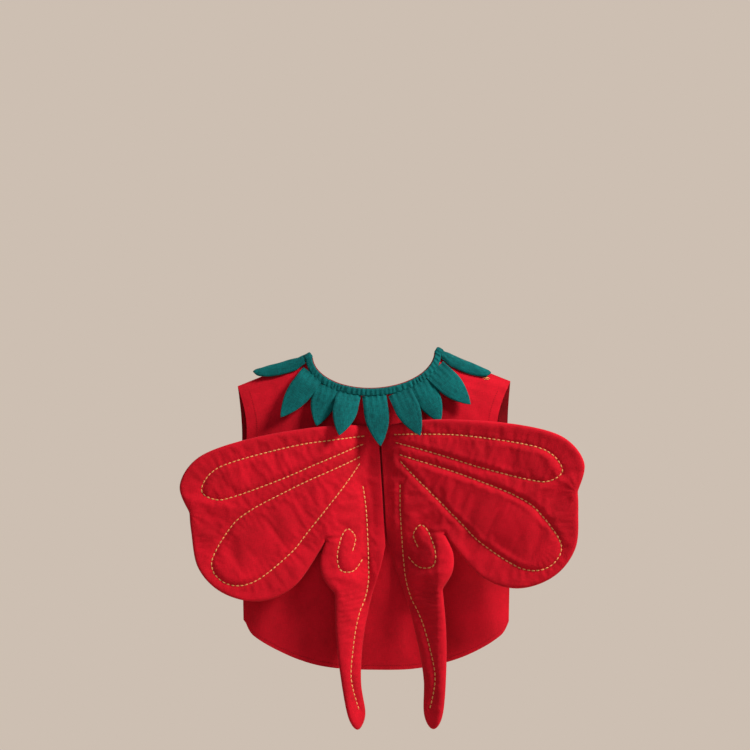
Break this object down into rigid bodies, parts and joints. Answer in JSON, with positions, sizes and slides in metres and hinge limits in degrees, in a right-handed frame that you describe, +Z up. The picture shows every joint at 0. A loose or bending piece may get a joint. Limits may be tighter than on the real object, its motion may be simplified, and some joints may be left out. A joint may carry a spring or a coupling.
{
  "type": "child's winged costume tunic",
  "caption": "Sleeveless red cotton dress-up tunic with an elastic collar of green leaves and two quilted wings with long tails on the back.",
  "frame": {"origin": "in the fold of the shoulders, at the middle of the neck opening, where a hanger or the wearer's shoulders carry the tunic", "axes": "+Z up, +Y out of the wearer's front, -Y out of the back where the wings are, +X to the right as the back is seen"},
  "size_m": [0.5494, 0.1459, 0.5219],
  "materials": {
    "red_cotton": "plain-weave red cotton, matt, slightly creased",
    "red_facing": "plain-weave red cotton facing, matt",
    "green_cotton": "brushed slubby dark green cotton, matt",
    "gold_thread": "six-strand gold embroidery thread, soft sheen",
    "batting": "white polyester wadding",
    "elastic": "white woven elastic tape"
  },
  "bodies": {
    "tunic": {"back_panel": "red_cotton", "front_panel": "red_cotton", "neck_facing_back": "red_facing", "neck_facing_front": "red_facing", "neck_elastic_back": "elastic", "neck_elastic_front": "elastic", "collar_band_back": "green_cotton", "collar_band_front": "green_cotton", "armhole_facing_left_back": "red_facing", "armhole_facing_left_front": "red_facing", "armhole_facing_right_back": "red_facing", "armhole_facing_right_front": "red_facing", "wing_seam_tape": "red_facing"},
    "wing_left": {"wing_left_outer": "red_cotton", "wing_left_batting": "batting", "wing_left_backing": "red_cotton", "thread_left_upper_loop": "gold_thread", "thread_left_lower_loop": "gold_thread", "thread_left_spiral": "gold_thread", "thread_left_stem": "gold_thread"},
    "tail_left": {"tail_left_outer": "red_cotton", "tail_left_batting": "batting", "tail_left_backing": "red_cotton", "thread_left_tail": "gold_thread"},
    "wing_right": {"wing_right_outer": "red_cotton", "wing_right_batting": "batting", "wing_right_backing": "red_cotton", "thread_right_upper_loop": "gold_thread", "thread_right_lower_loop": "gold_thread", "thread_right_spiral": "gold_thread", "thread_right_stem": "gold_thread"},
    "tail_right": {"tail_right_outer": "red_cotton", "tail_right_batting": "batting", "tail_right_backing": "red_cotton", "thread_right_tail": "gold_thread"},
    "leaf_back_1": {"leaf_back_1": "green_cotton"},
    "leaf_back_2": {"leaf_back_2": "green_cotton"},
    "leaf_back_3": {"leaf_back_3": "green_cotton"},
    "leaf_back_4": {"leaf_back_4": "green_cotton"},
    "leaf_back_5": {"leaf_back_5": "green_cotton"},
    "leaf_back_6": {"leaf_back_6": "green_cotton"},
    "leaf_back_7": {"leaf_back_7": "green_cotton"},
    "leaf_front_1": {"leaf_front_1": "green_cotton"},
    "leaf_front_2": {"leaf_front_2": "green_cotton"},
    "leaf_front_3": {"leaf_front_3": "green_cotton"},
    "leaf_front_4": {"leaf_front_4": "green_cotton"},
    "leaf_front_5": {"leaf_front_5": "green_cotton"},
    "leaf_front_6": {"leaf_front_6": "green_cotton"},
    "leaf_front_7": {"leaf_front_7": "green_cotton"},
    "leaf_shoulder_left": {"leaf_shoulder_left": "green_cotton"},
    "leaf_shoulder_right": {"leaf_shoulder_right": "green_cotton"}
  },
  "joints": [
    {"name": "wing_left_flap", "type": "hinge", "parent": "tunic", "child": "wing_left", "pos_m": [0.008, -0.0276, -0.19], "axis": [0, 0, 1], "range_deg": [-2.5, 25], "stiffness_Nm_per_rad": 0.3},
    {"name": "wing_right_flap", "type": "hinge", "parent": "tunic", "child": "wing_right", "pos_m": [0.008, -0.0276, -0.19], "axis": [0, 0, -1], "range_deg": [-6, 25], "stiffness_Nm_per_rad": 0.3},
    {"name": "tail_left_swing", "type": "hinge", "parent": "wing_left", "child": "tail_left", "pos_m": [-0.0316, -0.05199, -0.33354], "axis": [-0.9958, -0.0916, -0.0095], "range_deg": [0, 25]},
    {"name": "tail_right_swing", "type": "hinge", "parent": "wing_right", "child": "tail_right", "pos_m": [0.05905, -0.06533, -0.33078], "axis": [-0.9929, 0.1185, 0.0074], "range_deg": [0, 25]},
    {"name": "leaf_back_1_lift", "type": "hinge", "parent": "tunic", "child": "leaf_back_1", "pos_m": [0.08216, -0.02025, -0.02562], "axis": [-0.6746, -0.2844, -0.6812], "range_deg": [0, 60]},
    {"name": "leaf_back_2_lift", "type": "hinge", "parent": "tunic", "child": "leaf_back_2", "pos_m": [0.06156, -0.02394, -0.04368], "axis": [-0.888, -0.1568, -0.4323], "range_deg": [0, 60]},
    {"name": "leaf_back_3_lift", "type": "hinge", "parent": "tunic", "child": "leaf_back_3", "pos_m": [0.03157, -0.03019, -0.05617], "axis": [-0.9053, -0.047, -0.4221], "range_deg": [-7.3, 30.1]},
    {"name": "leaf_back_4_lift", "type": "hinge", "parent": "tunic", "child": "leaf_back_4", "pos_m": [-0.00382, -0.0275, -0.0615], "axis": [-0.9918, 0, -0.1277], "range_deg": [0, 60]},
    {"name": "leaf_back_5_lift", "type": "hinge", "parent": "tunic", "child": "leaf_back_5", "pos_m": [-0.03936, -0.03018, -0.05885], "axis": [-0.9747, 0.0419, 0.2195], "range_deg": [-3.1, 30.1]},
    {"name": "leaf_back_6_lift", "type": "hinge", "parent": "tunic", "child": "leaf_back_6", "pos_m": [-0.06978, -0.02388, -0.04863], "axis": [-0.9577, 0.1421, 0.2504], "range_deg": [0, 60]},
    {"name": "leaf_back_7_lift", "type": "hinge", "parent": "tunic", "child": "leaf_back_7", "pos_m": [-0.09105, -0.02012, -0.03209], "axis": [-0.7778, 0.2713, 0.567], "range_deg": [0, 60]},
    {"name": "leaf_front_1_lift", "type": "hinge", "parent": "tunic", "child": "leaf_front_1", "pos_m": [0.08319, 0.02336, -0.03719], "axis": [0.7664, -0.2397, 0.596], "range_deg": [0, 60]},
    {"name": "leaf_front_2_lift", "type": "hinge", "parent": "tunic", "child": "leaf_front_2", "pos_m": [0.06307, 0.02679, -0.06575], "axis": [0.9096, -0.0637, 0.4106], "range_deg": [0, 60]},
    {"name": "leaf_front_3_lift", "type": "hinge", "parent": "tunic", "child": "leaf_front_3", "pos_m": [0.033, 0.03044, -0.08551], "axis": [0.9819, -0.0048, 0.1894], "range_deg": [0, 60]},
    {"name": "leaf_front_4_lift", "type": "hinge", "parent": "tunic", "child": "leaf_front_4", "pos_m": [-0.0032, 0.0275, -0.0935], "axis": [0.9996, 0, -0.0285], "range_deg": [0, 60]},
    {"name": "leaf_front_5_lift", "type": "hinge", "parent": "tunic", "child": "leaf_front_5", "pos_m": [-0.03966, 0.03044, -0.08819], "axis": [0.9708, 0.0047, -0.2399], "range_deg": [0, 60]},
    {"name": "leaf_front_6_lift", "type": "hinge", "parent": "tunic", "child": "leaf_front_6", "pos_m": [-0.07045, 0.02676, -0.0707], "axis": [0.8931, 0.0711, -0.4442], "range_deg": [0, 60]},
    {"name": "leaf_front_7_lift", "type": "hinge", "parent": "tunic", "child": "leaf_front_7", "pos_m": [-0.09164, 0.02323, -0.04366], "axis": [0.7533, 0.2472, -0.6095], "range_deg": [0, 60]},
    {"name": "leaf_shoulder_left_lift", "type": "hinge", "parent": "tunic", "child": "leaf_shoulder_left", "pos_m": [-0.104, 0, -0.0071], "axis": [0, 1, 0], "range_deg": [0, 60]},
    {"name": "leaf_shoulder_right_lift", "type": "hinge", "parent": "tunic", "child": "leaf_shoulder_right", "pos_m": [0.094, 0, -0.0001], "axis": [0, -1, 0], "range_deg": [0, 60]}
  ],
  "couplings": [
    {"joint": "leaf_back_3_lift", "follows": "wing_right_flap", "ratio": 1.2},
    {"joint": "leaf_back_5_lift", "follows": "wing_left_flap", "ratio": 1.2}
  ]
}
